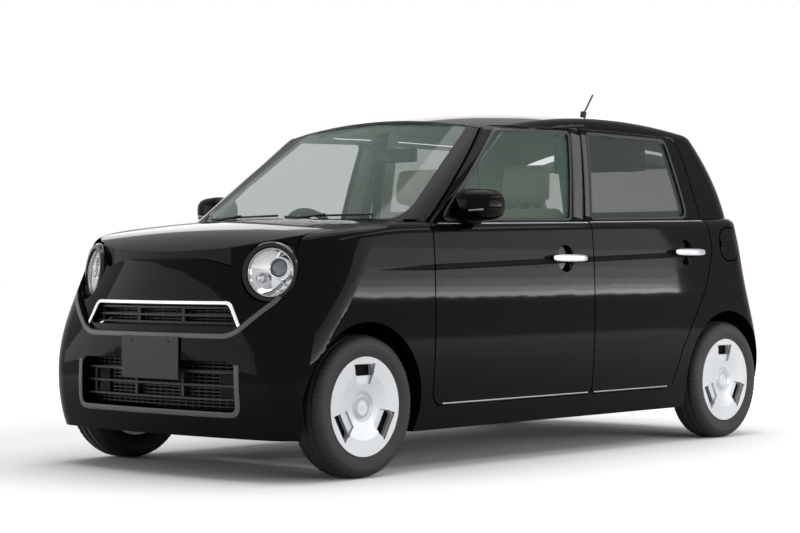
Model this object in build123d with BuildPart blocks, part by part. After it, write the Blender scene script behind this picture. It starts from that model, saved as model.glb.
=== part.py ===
import math
import os

from build123d import *

os.makedirs("parts", exist_ok=True)

# Car sizes in millimetres: +X forward, +Y left, +Z up, ground at zero.
LENGTH = 3395.0
BODY_WIDTH = 1475.0
WHEELBASE = 2520.0
TRACK = 1305.0
FRONT_OVERHANG = 455.0
BELT_HEIGHT = 1012.0
ROOF_HEIGHT = 1527.0
TYRE_RADIUS = 275.0
RIM_RADIUS = 178.0
WALL = 45.0
FRAME_WALL = 30.0
FLOOR_BOTTOM = 160.0
FLOOR_TOP = 205.0
REAR_FLOOR = 375.0
GAP = 7.0
FIT = 0.3
RUNNING = 0.05
SHOULDER = 48.0
ARCH_RADIUS = 325.0
PIN = 6.0
SPINDLE = 14.0
COWL_TROUGH = 70.0
LIP_SLOT = 9.0
TAILGATE_SWEEP = 50.0
PLATE_BOLT = 3.25
PLATE_BOLT_SPACING = 210.0
PLATE_BOLT_HEIGHT = 522.0
KINGPIN_LEAN = 0.11975

NOSE = LENGTH / 2
TAIL = -LENGTH / 2
HALF = BODY_WIDTH / 2
FRONT_AXLE = NOSE - FRONT_OVERHANG
REAR_AXLE = FRONT_AXLE - WHEELBASE
WHEEL_Y = TRACK / 2
DOOR_FRONT = FRONT_AXLE - 397
DOOR_SPLIT = FRONT_AXLE - 1453
COWL = FRONT_AXLE - 282

# Lower body: height, nose setback, nose bow, nose corner, side setback,
# tail setback, tail bow, tail corner
LOWER = (
    (160, 32, 4000, 150, 46, 35, 4000, 130),
    (300, 4, 3600, 165, 15, 3, 4000, 140),
    (430, 0, 3300, 178, 4, 8, 3500, 145),
    (560, 3, 2500, 215, 0, 40, 3000, 150),
    (740, 17, 1500, 300, 1, 92, 2600, 160),
    (900, 56, 1250, 340, 9, 126, 2400, 165),
    (1090, 108, 1200, 360, 35, 150, 2200, 170),
)

# Cabin: height, glass reach ahead of the cowl, glass bow, pillar corner,
# side setback, reach ahead of the tail, tail bow, tail corner
UPPER = (
    (930, 130, 1700, 110, 45, 152, 2200, 150),
    (1060, -50, 1750, 110, 61, 182, 2100, 150),
    (1240, -307, 1800, 110, 89, 265, 2000, 150),
    (1400, -535, 1850, 110, 123, 385, 1900, 150),
    (1580, -792, 1900, 110, 171, 577, 1800, 150),
)


def bow_corner(bow_center, bow, corner, half_width, way):
    cx = bow_center + way * math.sqrt((bow - corner) ** 2 - (half_width - corner) ** 2)
    cy = half_width - corner
    reach = math.hypot(cx - bow_center, cy)
    first = (bow_center + (cx - bow_center) / reach * bow, cy / reach * bow)
    across = ((first[0] - cx) / corner, (first[1] - cy) / corner + 1)
    size = math.hypot(*across)
    middle = (cx + across[0] / size * corner, cy + across[1] / size * corner)
    return first, middle, (cx, half_width)


def plan_outline(height, front_x, front_bow, front_corner, half_width, rear_x, rear_bow, rear_corner):
    f1, f2, f3 = bow_corner(front_x - front_bow, front_bow, front_corner, half_width, 1)
    r1, r2, r3 = bow_corner(rear_x + rear_bow, rear_bow, rear_corner, half_width, -1)

    def right(point):
        return (point[0], -point[1])

    with BuildSketch(Plane.XY.offset(height)) as outline:
        with BuildLine():
            ThreePointArc(right(f1), (front_x, 0), f1)
            ThreePointArc(f1, f2, f3)
            Line(f3, r3)
            ThreePointArc(r3, r2, r1)
            ThreePointArc(r1, (rear_x, 0), right(r1))
            ThreePointArc(right(r1), right(r2), right(r3))
            Line(right(r3), right(f3))
            ThreePointArc(right(f3), right(f2), right(f1))
        make_face()
    return outline.sketch.faces()[0]


def crowned(top, crown, half_angle, draw):
    lean = math.radians(half_angle)
    center = top - crown
    side_plane = Plane((0, 0, center), x_dir=(1, 0, 0), z_dir=(0, -math.cos(lean), math.sin(lean)))
    with BuildPart() as cap:
        with BuildSketch(side_plane):
            with BuildLine():
                draw(-center)
            make_face()
        revolve(axis=Axis((0, 0, center), (1, 0, 0)), revolution_arc=2 * half_angle)
    return cap.part


def bonnet_line(drop, base):
    rear = (TAIL - 60, BELT_HEIGHT + 64 - drop + base)
    cowl = (COWL, BELT_HEIGHT - drop + base)
    brow = (FRONT_AXLE + 158, BELT_HEIGHT - 50 - drop + base)
    lip = (NOSE + 24, BELT_HEIGHT - 222 - drop + base)
    belt = Line(rear, cowl)
    slope = TangentArc(cowl, brow, tangent=belt % 1)
    TangentArc(brow, lip, tangent=slope % 1)
    Polyline(lip, (lip[0], base), (rear[0], base), rear)


def roof_line(drop, base):
    front = (COWL - 400, ROOF_HEIGHT - 125 - drop + base)
    rear = (TAIL + 138, ROOF_HEIGHT - 115 - drop + base)
    ThreePointArc(front, (FRONT_AXLE - 1692, ROOF_HEIGHT - drop + base), rear)
    screen = COWL + 170
    Polyline(rear, (rear[0], 700 + base), (screen, 700 + base), (screen, front[1]), front)


def lower_body(inset, bottom, rounding):
    cap = crowned(BELT_HEIGHT, 9000, 6.5, lambda base: bonnet_line(inset, base))
    with BuildPart() as body:
        loft(sections=[
            plan_outline(z, NOSE - nose - inset, nose_bow - inset, nose_corner - inset,
                         HALF - side - inset, TAIL + tail + inset, tail_bow - inset, tail_corner - inset)
            for z, nose, nose_bow, nose_corner, side, tail, tail_bow, tail_corner in LOWER
        ])
        add(cap, mode=Mode.INTERSECT)
        if bottom > FLOOR_BOTTOM:
            with Locations((0, 0, bottom)):
                Box(2 * LENGTH, 2 * BODY_WIDTH, 2000,
                    align=(Align.CENTER, Align.CENTER, Align.MIN), mode=Mode.INTERSECT)
        if rounding:
            top = body.faces().filter_by(lambda f: f.normal_at().Z > 0.5)
            rim = [e for f in top for e in f.edges() if sum(e in g.edges() for g in top) == 1]
            fillet(rim, rounding)
    return body.part


def upper_body(inset, rounding):
    cap = crowned(ROOF_HEIGHT, 3000, 17, lambda base: roof_line(inset, base))
    with BuildPart() as cabin:
        loft(sections=[
            plan_outline(z, COWL + glass - 1.7 * inset, glass_bow - inset, corner - inset,
                         HALF - side - inset, TAIL + tail + 1.15 * inset, tail_bow - inset,
                         tail_corner - inset)
            for z, glass, glass_bow, corner, side, tail, tail_bow, tail_corner in UPPER
        ])
        add(cap, mode=Mode.INTERSECT)
        if rounding:
            top = cabin.faces().sort_by(Axis.Z)[-1]
            fillet(top.edges(), rounding)
    return cabin.part


def panel(plane, start, depth, outline, grow=0.0):
    with BuildPart() as prism:
        with BuildSketch(plane.offset(start)) as face:
            with BuildLine():
                Polyline([point[:2] for point in outline], close=True)
            make_face()
            for u, v, radius in outline:
                if radius:
                    fillet(face.vertices().sort_by_distance((u, v))[0], radius)
            if grow:
                offset(amount=grow, kind=Kind.INTERSECTION, mode=Mode.REPLACE)
        extrude(amount=depth)
    return prism.part


def block(x0, x1, y0, y1, z0, z1):
    with BuildPart() as box:
        with Locations(((x0 + x1) / 2, (y0 + y1) / 2, (z0 + z1) / 2)):
            Box(x1 - x0, y1 - y0, z1 - z0)
    return box.part


def rod(start, end, radius):
    way = Vector(*end) - Vector(*start)
    with BuildPart() as bar:
        with BuildSketch(Plane(start, z_dir=way)):
            Circle(radius)
        extrude(amount=way.length)
    return bar.part


def both(piece):
    return piece, mirror(piece, about=Plane.XZ)


def side_panel(outline, grow=0.0):
    return panel(Plane.XZ, -900, 355, outline, grow)


def front_panel(start, outline, grow=0.0):
    return panel(Plane.YZ, start, 700, outline, grow)


# A cut for the moving panel and a leaf for the fixed body; the frame's x runs to the hinged edge
def hinge(frame, edge, arm):
    with BuildPart() as cut:
        with BuildSketch(frame.offset(-35)):
            with Locations(((edge - 11) / 2, -38)):
                Rectangle(edge + 21, 94)
        extrude(amount=70)
        with BuildSketch(frame.offset(-57)):
            Circle(PIN + RUNNING)
        extrude(amount=114)
    with BuildPart() as leaf:
        with BuildSketch(frame.offset(-25)):
            Circle(8)
            with Locations((0, -arm / 2)):
                Rectangle(16, arm)
        extrude(amount=50)
        with BuildSketch(frame.offset(-55)):
            Circle(PIN)
        extrude(amount=110)
    return cut.part, leaf.part


def save(name, pieces):
    solids = [solid for piece in pieces for solid in piece.solids()]
    shape = solids[0] if len(solids) == 1 else Compound(children=solids)
    shape.label = name
    export_step(shape, f"parts/{name}.step")


# Body skins and the room inside them
outer_lower = lower_body(0, FLOOR_BOTTOM, SHOULDER)
inner_lower = lower_body(WALL, FLOOR_TOP, 0)
lining = lower_body(WALL + 0.6, FLOOR_TOP, 0)
outer = outer_lower + upper_body(0, 50)
inner = inner_lower + upper_body(FRAME_WALL, 0)
shell = outer - inner
skin_lower = outer_lower - inner_lower
glass_skin = upper_body(5, 0) - upper_body(10, 0)
clear_skin = lower_body(-FIT, FLOOR_BOTTOM, SHOULDER) + upper_body(-FIT, 0)

# Side openings: x, z, corner radius
FRONT_DOOR = (
    (DOOR_FRONT, 258, 60), (DOOR_FRONT, 975, 30), (COWL - 630, 1402, 90),
    (DOOR_SPLIT - 52, 1412, 25), (DOOR_SPLIT, 1005, 0), (DOOR_SPLIT, 258, 30),
)
REAR_DOOR = (
    (DOOR_SPLIT - GAP, 258, 30), (DOOR_SPLIT - GAP, 1005, 0), (DOOR_SPLIT - 52 - GAP, 1412, 25),
    (REAR_AXLE + 268, 1406, 70), (REAR_AXLE + 152, 1030, 60), (REAR_AXLE + 128, 890, 90),
    (REAR_AXLE + 187, 718, 120), (REAR_AXLE + 380, 430, 120), (REAR_AXLE + 452, 258, 50),
)
FRONT_WINDOW = (
    (COWL - 215, 1004, 25), (COWL - 650, 1378, 40), (DOOR_SPLIT + 35, 1390, 25), (DOOR_SPLIT + 108, 1020, 25),
)
REAR_WINDOW = (
    (DOOR_SPLIT - 60, 1026, 25), (DOOR_SPLIT - 112, 1392, 25),
    (REAR_AXLE + 366, 1388, 45), (REAR_AXLE + 272, 1044, 40),
)
# Front view: y, z, corner radius
WINDSCREEN = (
    (-600, 1004, 50), (600, 1004, 50), (484, 1412, 45), (0, 1436, 0), (-484, 1412, 45),
)
FACE = (
    (-600, 1010, 0), (-600, 800, 60), (-572, 690, 70), (-415, 560, 150),
    (415, 560, 150), (572, 690, 70), (600, 800, 60), (600, 1010, 0),
)
UPPER_GRILLE = ((-422, 584, 12), (422, 584, 12), (377, 664, 20), (-377, 664, 20))
LOWER_GRILLE = ((-446, 262, 30), (446, 262, 30), (440, 452, 40), (-440, 452, 40))
TAILGATE = (
    (-552, 572, 40), (552, 572, 40), (552, 1040, 40), (470, 1392, 50), (-470, 1392, 50), (-552, 1040, 40),
)
TAIL_WINDOW = ((-490, 1085, 45), (490, 1085, 45), (415, 1290, 45), (-415, 1290, 45))
# Top view: x, y, corner radius
BONNET = (
    (COWL + 165, 0, 2100), (COWL + 24, 592, 20), (FRONT_AXLE + 205, 592, 60), (FRONT_AXLE + 300, 470, 90),
    (FRONT_AXLE + 345, 350, 90), (FRONT_AXLE + 408, 0, 1700), (FRONT_AXLE + 345, -350, 90),
    (FRONT_AXLE + 300, -470, 90), (FRONT_AXLE + 205, -592, 60), (COWL + 24, -592, 20),
)
# Bumper ends seen from the side
FRONT_BUMPER = (
    (FRONT_AXLE + 330, 700, 0), (FRONT_AXLE + 215, 545, 0), (FRONT_AXLE + 215, 100, 0),
    (NOSE + 40, 100, 0), (NOSE + 40, 700, 0),
)
FENDER = (
    (DOOR_FRONT + GAP, 255, 0), (DOOR_FRONT + GAP, 1000, 0), (NOSE + 40, 1000, 0), (NOSE + 40, 700, 0),
    (FRONT_AXLE + 330, 700, 0), (FRONT_AXLE + 215, 545, 0), (FRONT_AXLE + 215, 255, 0),
)
REAR_BUMPER = (
    (REAR_AXLE - 250, 100, 0), (REAR_AXLE - 250, 560, 0), (TAIL - 40, 560, 0), (TAIL - 40, 100, 0),
)
TAIL_LAMP = ((565, 778, 25), (760, 778, 0), (760, 1034, 0), (565, 1034, 25))

face_start = FRONT_AXLE + 190
bonnet_prism = panel(Plane.XY, 780, 300, BONNET)
bonnet_gap = panel(Plane.XY, 700, 400, BONNET, GAP)
bonnet_hole = bonnet_gap + Pos(-COWL_TROUGH, 0, 0) * bonnet_gap + Pos(LIP_SLOT, 0, 0) * bonnet_gap
face_prism = front_panel(face_start, FACE)
face_hole = front_panel(face_start, FACE, FIT)
front_bumper_prism = panel(Plane.XZ, -900, 1800, FRONT_BUMPER)
front_bumper_hole = panel(Plane.XZ, -900, 1800, FRONT_BUMPER, FIT)
rear_bumper_prism = panel(Plane.XZ, -900, 1800, REAR_BUMPER)
rear_bumper_hole = panel(Plane.XZ, -900, 1800, REAR_BUMPER, FIT)
fender_corner = block(FRONT_AXLE + 240, NOSE, 570, 610, 600, 720)
fender_prism = panel(Plane.XZ, -900, 298, FENDER) + fender_corner
fender_hole = panel(Plane.XZ, -900, 298 + FIT, FENDER, FIT) + fender_corner
tailgate_prism = panel(Plane.YZ, REAR_AXLE - 700, 650, TAILGATE)
tailgate_hole = panel(Plane.YZ, REAR_AXLE - 700, 650 + TAILGATE_SWEEP, TAILGATE, GAP)
lamp_prism = panel(Plane.YZ, TAIL - 40, 275, TAIL_LAMP, -FIT)
lamp_hole = panel(Plane.YZ, TAIL - 40, 275 + FIT, TAIL_LAMP)

wells = [rod((x, way * 400, TYRE_RADIUS), (x, way * 900, TYRE_RADIUS), ARCH_RADIUS)
         for x in (FRONT_AXLE,) for way in (1, -1)]
wells += [rod((REAR_AXLE, way * 530, TYRE_RADIUS), (REAR_AXLE, way * 900, TYRE_RADIUS), ARCH_RADIUS)
          for way in (1, -1)]

# Door hinges: door, axis x, heights
HINGE_Y = HALF - 15.5
DOOR_HINGE_HEIGHTS = (440, 800)
front_axis_x = DOOR_FRONT - 60
rear_axis_x = DOOR_SPLIT - GAP - 60
door_hinges = {
    x: [hinge(Plane((x, HINGE_Y, z), x_dir=(1, 0, 0), z_dir=(0, 0, 1)), 60, 112) for z in DOOR_HINGE_HEIGHTS]
    for x in (front_axis_x, rear_axis_x)
}

slope = Vector(0.6, 0, 0.8)
tailgate_axis = Vector(TAIL + 355, 0, 1338)
tailgate_hinges = [
    hinge(Plane(tailgate_axis + Vector(0, y, 0), x_dir=slope, z_dir=(0, -1, 0)), 75, 95) for y in (180, -180)
]
bonnet_axis = Vector(COWL + 30, 0, 966)
bonnet_hinges = [
    hinge(Plane(bonnet_axis + Vector(0, y, 0), x_dir=(-1, 0, 0), z_dir=(0, 1, 0)), 60, 95) for y in (430, -430)
]
bonnet_tabs = [
    Pos(bonnet_axis + Vector(0, y, 0)) * block(-18, 95, -58, 58, -17, 17) for y in (430, -430)
]

LAMP = Plane((FRONT_AXLE + 300, 511, 789), z_dir=(0.9, 0.40, 0.12))


def lamp_bore(radius):
    return rod(LAMP.from_local_coords((0, 0, -110)), LAMP.from_local_coords((0, 0, 190)), radius)


# Bonnet, face, bumpers and fenders
with BuildPart() as bonnet:
    add(skin_lower)
    add(bonnet_prism, mode=Mode.INTERSECT)
    add(bonnet_tabs)
    add([cut for cut, leaf in bonnet_hinges], mode=Mode.SUBTRACT)
    add(both(lamp_bore(118 + GAP)), mode=Mode.SUBTRACT)
save("bonnet", [bonnet.part])

with BuildPart() as lamp_bowl:
    with BuildSketch(LAMP.offset(-70)):
        Circle(118)
    extrude(amount=72)
    with BuildSketch(LAMP.offset(2)):
        Circle(118)
    extrude(amount=12, taper=30)
    with BuildSketch(LAMP.offset(-60)):
        Circle(96)
    extrude(amount=100, mode=Mode.SUBTRACT)
with BuildPart() as lamp_lens:
    Cylinder(95.6, 60)
    with Locations((0, 0, -194)):
        Sphere(220, rotation=(90, 0, 0), mode=Mode.INTERSECT)
        Sphere(214, rotation=(90, 0, 0), mode=Mode.SUBTRACT)

with BuildPart() as front_face:
    add(lower_body(16, FLOOR_BOTTOM, SHOULDER - 16))
    add(inner_lower, mode=Mode.SUBTRACT)
    add(face_prism, mode=Mode.INTERSECT)
    add(bonnet_hole, mode=Mode.SUBTRACT)
    add(front_panel(face_start, UPPER_GRILLE), mode=Mode.SUBTRACT)
    add(both(lamp_bore(118 + FIT)), mode=Mode.SUBTRACT)
save("front_face", [front_face.part.solids().sort_by(SortBy.VOLUME)[-1]])
save("headlamps", both(lamp_bowl.part))
save("headlamp_lenses", both(LAMP.location * lamp_lens.part))

with BuildPart() as front_bumper:
    add(skin_lower)
    add(front_bumper_prism, mode=Mode.INTERSECT)
    add(face_hole, mode=Mode.SUBTRACT)
    add(front_panel(face_start, LOWER_GRILLE), mode=Mode.SUBTRACT)
    for well in wells:
        add(well, mode=Mode.SUBTRACT)
    with BuildSketch(Plane.YZ.offset(NOSE - 38)):
        with Locations((0, PLATE_BOLT_HEIGHT)):
            with GridLocations(PLATE_BOLT_SPACING, 0, 2, 1):
                Circle(PLATE_BOLT)
    extrude(amount=60, mode=Mode.SUBTRACT)
save("front_bumper", [front_bumper.part])

with BuildPart() as fender:
    add(skin_lower)
    add(fender_prism, mode=Mode.INTERSECT)
    add([face_hole, front_bumper_hole, wells[0], lamp_bore(118 + FIT)], mode=Mode.SUBTRACT)
save("front_fenders", both(fender.part.solids().sort_by(SortBy.VOLUME)[-1]))

with BuildPart() as rear_bumper:
    add(skin_lower)
    add(rear_bumper_prism, mode=Mode.INTERSECT)
    add(tailgate_hole, mode=Mode.SUBTRACT)
    for well in wells:
        add(well, mode=Mode.SUBTRACT)
save("rear_bumper", [rear_bumper.part])

with BuildPart() as tail_lamp:
    add(shell)
    add(lamp_prism, mode=Mode.INTERSECT)
save("tail_lamps", both(tail_lamp.part))

# Grilles: name, bar heights, half width, plan bow, reach, opening
GRILLES = (
    ("upper_grille", (595, 624, 653), 430, 1900, 1656, UPPER_GRILLE),
    ("lower_grille", (305, 357, 409), 450, 3300, 1664, LOWER_GRILLE),
)
for name, heights, half_width, bow, reach, opening in GRILLES:
    with BuildPart() as grille:
        for height in heights:
            with BuildSketch(Plane.XY.offset(height - 4)):
                with Locations((reach - bow, 0)):
                    Circle(bow)
                    Circle(bow - 16, mode=Mode.SUBTRACT)
                with Locations((reach, 0)):
                    Rectangle(400, 2 * half_width, mode=Mode.INTERSECT)
            extrude(amount=8)
        for y in (-0.9, -0.3, 0.3, 0.9):
            with BuildSketch(Plane.XY.offset(heights[0] - 4)):
                with Locations((reach - 24 - (y * half_width) ** 2 / 2 / bow, y * half_width)):
                    Rectangle(24, 14)
            extrude(amount=heights[-1] - heights[0] + 8)
        add(front_panel(face_start, opening, -FIT), mode=Mode.INTERSECT)
    save(name, [grille.part])

# Doors with their glass and a round cup behind each grip: grip center x, height
GRIPS = {"front": (DOOR_SPLIT + 198, 847), "rear": (REAR_AXLE + 347, 877)}
for name, outline, window, axis_x in (
    ("front", FRONT_DOOR, FRONT_WINDOW, front_axis_x), ("rear", REAR_DOOR, REAR_WINDOW, rear_axis_x),
):
    with BuildPart() as door:
        add(shell)
        add(side_panel(outline), mode=Mode.INTERSECT)
        add(side_panel(window), mode=Mode.SUBTRACT)
        for cut, leaf in door_hinges[axis_x]:
            add(cut, mode=Mode.SUBTRACT)
        with BuildSketch(Plane.XZ.offset(-(HALF - 28))):
            with Locations(GRIPS[name]):
                Circle(48)
        extrude(amount=-40, taper=-25, mode=Mode.SUBTRACT)
    with BuildPart() as pane:
        add(glass_skin)
        add(side_panel(window, -FIT), mode=Mode.INTERSECT)
    for side, door_piece, pane_piece in zip(("left", "right"), both(door.part), both(pane.part)):
        save(f"{name}_door_{side}", [door_piece])
        save(f"{name}_door_glass_{side}", [pane_piece])

# Door mirrors: x, y, corner radius in plan
MIRROR_PLAN = (
    (FRONT_AXLE - 712, HALF - 60, 22), (FRONT_AXLE - 712, HALF + 128, 26), (FRONT_AXLE - 668, HALF + 128, 35),
    (FRONT_AXLE - 545, HALF - 8, 40), (FRONT_AXLE - 545, HALF - 60, 22),
)
with BuildPart() as door_mirror:
    add(panel(Plane.XY, 985, 143, MIRROR_PLAN))
    fillet(door_mirror.edges().filter_by(lambda e: abs(e.tangent_at(0.5).Z) < 0.1), 20)
    add(block(FRONT_AXLE - 640, FRONT_AXLE - 570, HALF - 75, HALF - 20, 1010, 1060))
    add(clear_skin, mode=Mode.SUBTRACT)
for side, piece in zip(("left", "right"), both(door_mirror.part)):
    save(f"door_mirror_{side}", [piece.solids().sort_by(SortBy.VOLUME)[-1]])

# Door handles over the cups
for name, (grip_x, height) in GRIPS.items():
    with BuildPart() as handle:
        with BuildSketch(Plane.XZ.offset(-(HALF + 12))):
            with Locations((grip_x, height)):
                RectangleRounded(240, 32, 15)
        extrude(amount=-16)
        for way in (1, -1):
            with BuildSketch(Plane.XZ.offset(-(HALF - 5))):
                with Locations((grip_x + way * 95, height)):
                    RectangleRounded(36, 24, 10)
            extrude(amount=-24)
        add(clear_skin, mode=Mode.SUBTRACT)
    for side, piece in zip(("left", "right"), both(handle.part)):
        save(f"{name}_door_handle_{side}", [piece])

# Tailgate, its glass and the windscreen
with BuildPart() as tailgate:
    add(shell)
    add(tailgate_prism, mode=Mode.INTERSECT)
    add(panel(Plane.YZ, REAR_AXLE - 700, 650, TAIL_WINDOW), mode=Mode.SUBTRACT)
    for cut, leaf in tailgate_hinges:
        add(cut, mode=Mode.SUBTRACT)
save("tailgate", [tailgate.part])
with BuildPart() as tail_glass:
    add(glass_skin)
    add(panel(Plane.YZ, REAR_AXLE - 700, 650, TAIL_WINDOW, -FIT), mode=Mode.INTERSECT)
save("tailgate_glass", [tail_glass.part])
with BuildPart() as windscreen:
    add(glass_skin)
    add(panel(Plane.YZ, FRONT_AXLE - 990, 760, WINDSCREEN, -FIT), mode=Mode.INTERSECT)
save("windscreen", [windscreen.part])

# Fuel lid on the left rear quarter, hinged on an upright pin at its front edge
lid_x, lid_z = REAR_AXLE - 30, 917
lid_axis = Vector(lid_x + 66, HALF - 10, lid_z)
with BuildPart() as lid_pocket:
    with BuildSketch(Plane.XZ.offset(-(HALF - 44))):
        with Locations((lid_x, lid_z)):
            RectangleRounded(181, 164, 71)
    extrude(amount=-100)
with BuildPart() as fuel_lid:
    add(outer_lower)
    with BuildSketch(Plane.XZ.offset(-(HALF - 30))):
        with Locations((lid_x, lid_z)):
            RectangleRounded(163, 150, 64)
    extrude(amount=-100, mode=Mode.INTERSECT)
    add(Pos(lid_axis) * block(-9, 40, -46, 4.4, -14, 14), mode=Mode.SUBTRACT)
    add(rod(lid_axis - Vector(0, 0, 26), lid_axis + Vector(0, 0, 26), 2.5 + RUNNING), mode=Mode.SUBTRACT)
save("fuel_lid", [fuel_lid.part])
with BuildPart() as lid_leaf:
    add(rod(lid_axis - Vector(0, 0, 25), lid_axis + Vector(0, 0, 25), 2.5))
    add(rod(lid_axis - Vector(0, 0, 9), lid_axis + Vector(0, 0, 9), 3.6))
    add(Pos(lid_axis) * block(-3.6, 3.6, -40, 0, -9, 9))

# Inner structure: posts, firewall, floors, rails, wheelhouses and hinge leaves
hinge_bar = tailgate_axis + Vector(88, 0, -40)
with BuildPart() as structure:
    add(block(DOOR_FRONT - 30, DOOR_FRONT - 8, -600, 600, 150, 930))
    add(block(TAIL + 110, REAR_AXLE + 450, -640, 640, 150, REAR_FLOOR))
    add(block(REAR_AXLE + 400, DOOR_FRONT - 20, -90, 90, 150, 260))
    add(block(COWL, COWL + 60, -600, 600, 835, 885))
    add(block(hinge_bar.X - 25, hinge_bar.X + 25, -260, 260, hinge_bar.Z - 20, 1500))
    for way in (1, -1):
        add(rod((REAR_AXLE, way * 500, TYRE_RADIUS), (REAR_AXLE, way * 900, TYRE_RADIUS), ARCH_RADIUS + 20))
        for x in (front_axis_x, rear_axis_x):
            add(block(x - 30, x + 40, way * 589 - 29, way * 589 + 29, 150, 975))
    pillar = ((560, 960, 0), (618, 960, 0), (536, 1500, 0), (480, 1500, 0))
    add(both(panel(Plane.YZ, rear_axis_x - 30, 70, pillar)))
    add(inner, mode=Mode.INTERSECT)
with BuildPart() as front_frame:
    for way in (1, -1):
        add(block(DOOR_FRONT - 20, NOSE, way * 580.85 - 20.85, way * 580.85 + 20.85, 860, 905))
        add(block(DOOR_FRONT - 20, NOSE - 75, way * 360 - 35, way * 360 + 35, 300, 400))
        add(block(FRONT_AXLE - 80, FRONT_AXLE + 80, way * 510 - 70, way * 510 + 70, 852, 872))
        add(rod((FRONT_AXLE, way * 392, TYRE_RADIUS), (FRONT_AXLE, way * 655, TYRE_RADIUS), ARCH_RADIUS + 8))
    add(lining, mode=Mode.INTERSECT)

door_holes = both(side_panel(FRONT_DOOR, GAP)) + both(side_panel(REAR_DOOR, GAP))
screen_hole = panel(Plane.YZ, FRONT_AXLE - 990, 760, WINDSCREEN)
with BuildPart() as body_shell:
    add(shell)
    add([bonnet_hole, face_hole, front_bumper_hole, rear_bumper_hole, tailgate_hole, screen_hole,
         lid_pocket.part, *both(fender_hole), *both(lamp_hole), *both(lamp_bore(118 + FIT)), *door_holes],
        mode=Mode.SUBTRACT)
    add([structure.part, front_frame.part])
    add(both(lamp_bore(118 + FIT)), mode=Mode.SUBTRACT)
    recess = block(REAR_AXLE - 330, REAR_AXLE + 440, -540, 540, 0, 330)
    engine_bay = block(DOOR_FRONT + 120, FRONT_AXLE + 260, -401, 401, 0, FLOOR_TOP + 20)
    tunnel = block(REAR_AXLE + 400, DOOR_FRONT + 150, -55, 55, 0, 230)
    strut_slots = [rod((FRONT_AXLE, way * 530, 450), (FRONT_AXLE, way * 530, 700), 62) for way in (1, -1)]
    add([recess, engine_bay, tunnel, *wells, *strut_slots], mode=Mode.SUBTRACT)
    leaves = [leaf for pair in door_hinges.values() for cut, piece in pair for leaf in both(piece)]
    leaves += [leaf for cut, leaf in tailgate_hinges + bonnet_hinges]
    leaves.append(lid_leaf.part)
    for way in (1, -1):
        leaves.append(block(REAR_AXLE + 350, REAR_AXLE + 420, way * 495 - 35, way * 495 + 35, 305 + FIT, 340))
    add(leaves)
save("body_shell", [body_shell.part.solids().sort_by(SortBy.VOLUME)[-1]])

# Wheels and tyres: name, axle x, side
TYRE_PROFILE = (
    (-52, RIM_RADIUS + 0.5), (-60, 192), (-76, 215), (-77, 240), (-62, TYRE_RADIUS - 7), (-30, TYRE_RADIUS),
    (30, TYRE_RADIUS), (62, TYRE_RADIUS - 7), (77, 240), (76, 215), (60, 192), (52, RIM_RADIUS + 0.5),
)
CORNERS = (("front_left", FRONT_AXLE, 1), ("front_right", FRONT_AXLE, -1),
           ("rear_left", REAR_AXLE, 1), ("rear_right", REAR_AXLE, -1))
with BuildPart() as tyre:
    with BuildSketch(Plane.YZ):
        with BuildLine():
            Polyline(TYRE_PROFILE, close=True)
        make_face()
    revolve(axis=Axis.Y)
with BuildPart() as wheel:
    with BuildSketch(Plane.YZ):
        with BuildLine():
            Polyline(((-58, RIM_RADIUS), (-58, 168), (30, 160), (30, 40), (-22, 40), (-22, SPINDLE + RUNNING),
                      (46, SPINDLE + RUNNING), (46, 45), (54, 60), (64, 130), (68, 192), (62, 192),
                      (54, RIM_RADIUS)), close=True)
        make_face()
    revolve(axis=Axis.Y)
    with BuildSketch(Plane.XZ.offset(-80)):
        with PolarLocations(125, 3, start_angle=90):
            Trapezoid(120, 78, 74, rotation=90)
    extrude(amount=28, mode=Mode.SUBTRACT)
    with BuildSketch(Plane.XZ.offset(-80)):
        with PolarLocations(140, 3, start_angle=90):
            RectangleRounded(44, 106, 14)
    extrude(amount=60, mode=Mode.SUBTRACT)
for name, x, way in CORNERS:
    for kind, piece in (("tyre", tyre.part), ("wheel", wheel.part)):
        turned = piece if way > 0 else piece.rotate(Axis.Z, 180)
        save(f"{kind}_{name}", [Pos(x, way * WHEEL_Y, TYRE_RADIUS) * turned])

# Front knuckles with strut and spindle, turning on the leaning kingpin
def kingpin(height):
    return (FRONT_AXLE, 574 - KINGPIN_LEAN * (height - TYRE_RADIUS), height)


KNUCKLE_TOP = (FRONT_AXLE, 505, 850)
with BuildPart() as knuckle:
    add(block(FRONT_AXLE - 40, FRONT_AXLE + 40, 560, 596, 200, 400))
    add(rod((FRONT_AXLE, 590, TYRE_RADIUS), (FRONT_AXLE, WHEEL_Y + 40, TYRE_RADIUS), SPINDLE))
    add(block(FRONT_AXLE - 130, FRONT_AXLE - 30, 550, 575, 240, 265))
    add(rod((FRONT_AXLE, 540, 385), KNUCKLE_TOP, 22))
    add(rod((FRONT_AXLE, 526, 600), (FRONT_AXLE, 508, 820), 48))
    add(block(FRONT_AXLE - 30, FRONT_AXLE + 30, 525, 565, 385, 440))
    add(rod(kingpin(180), kingpin(232), 9 + RUNNING), mode=Mode.SUBTRACT)
for side, piece in zip(("left", "right"), both(knuckle.part)):
    save(f"front_knuckle_{side}", [piece])
with BuildPart() as front_subframe:
    add(block(FRONT_AXLE - 110, FRONT_AXLE + 60, -330, 330, 172, 226))
    for way in (1, -1):
        add(block(FRONT_AXLE - 60, FRONT_AXLE + 60, way * 350 - 30, way * 350 + 30, 172, 300 - FIT))
        add(block(FRONT_AXLE - 28, FRONT_AXLE + 28, way * 480 - 125, way * 480 + 125, 175, 195))
    add(both(rod(kingpin(180), kingpin(225), 9)))
save("front_subframe", [front_subframe.part])
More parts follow.
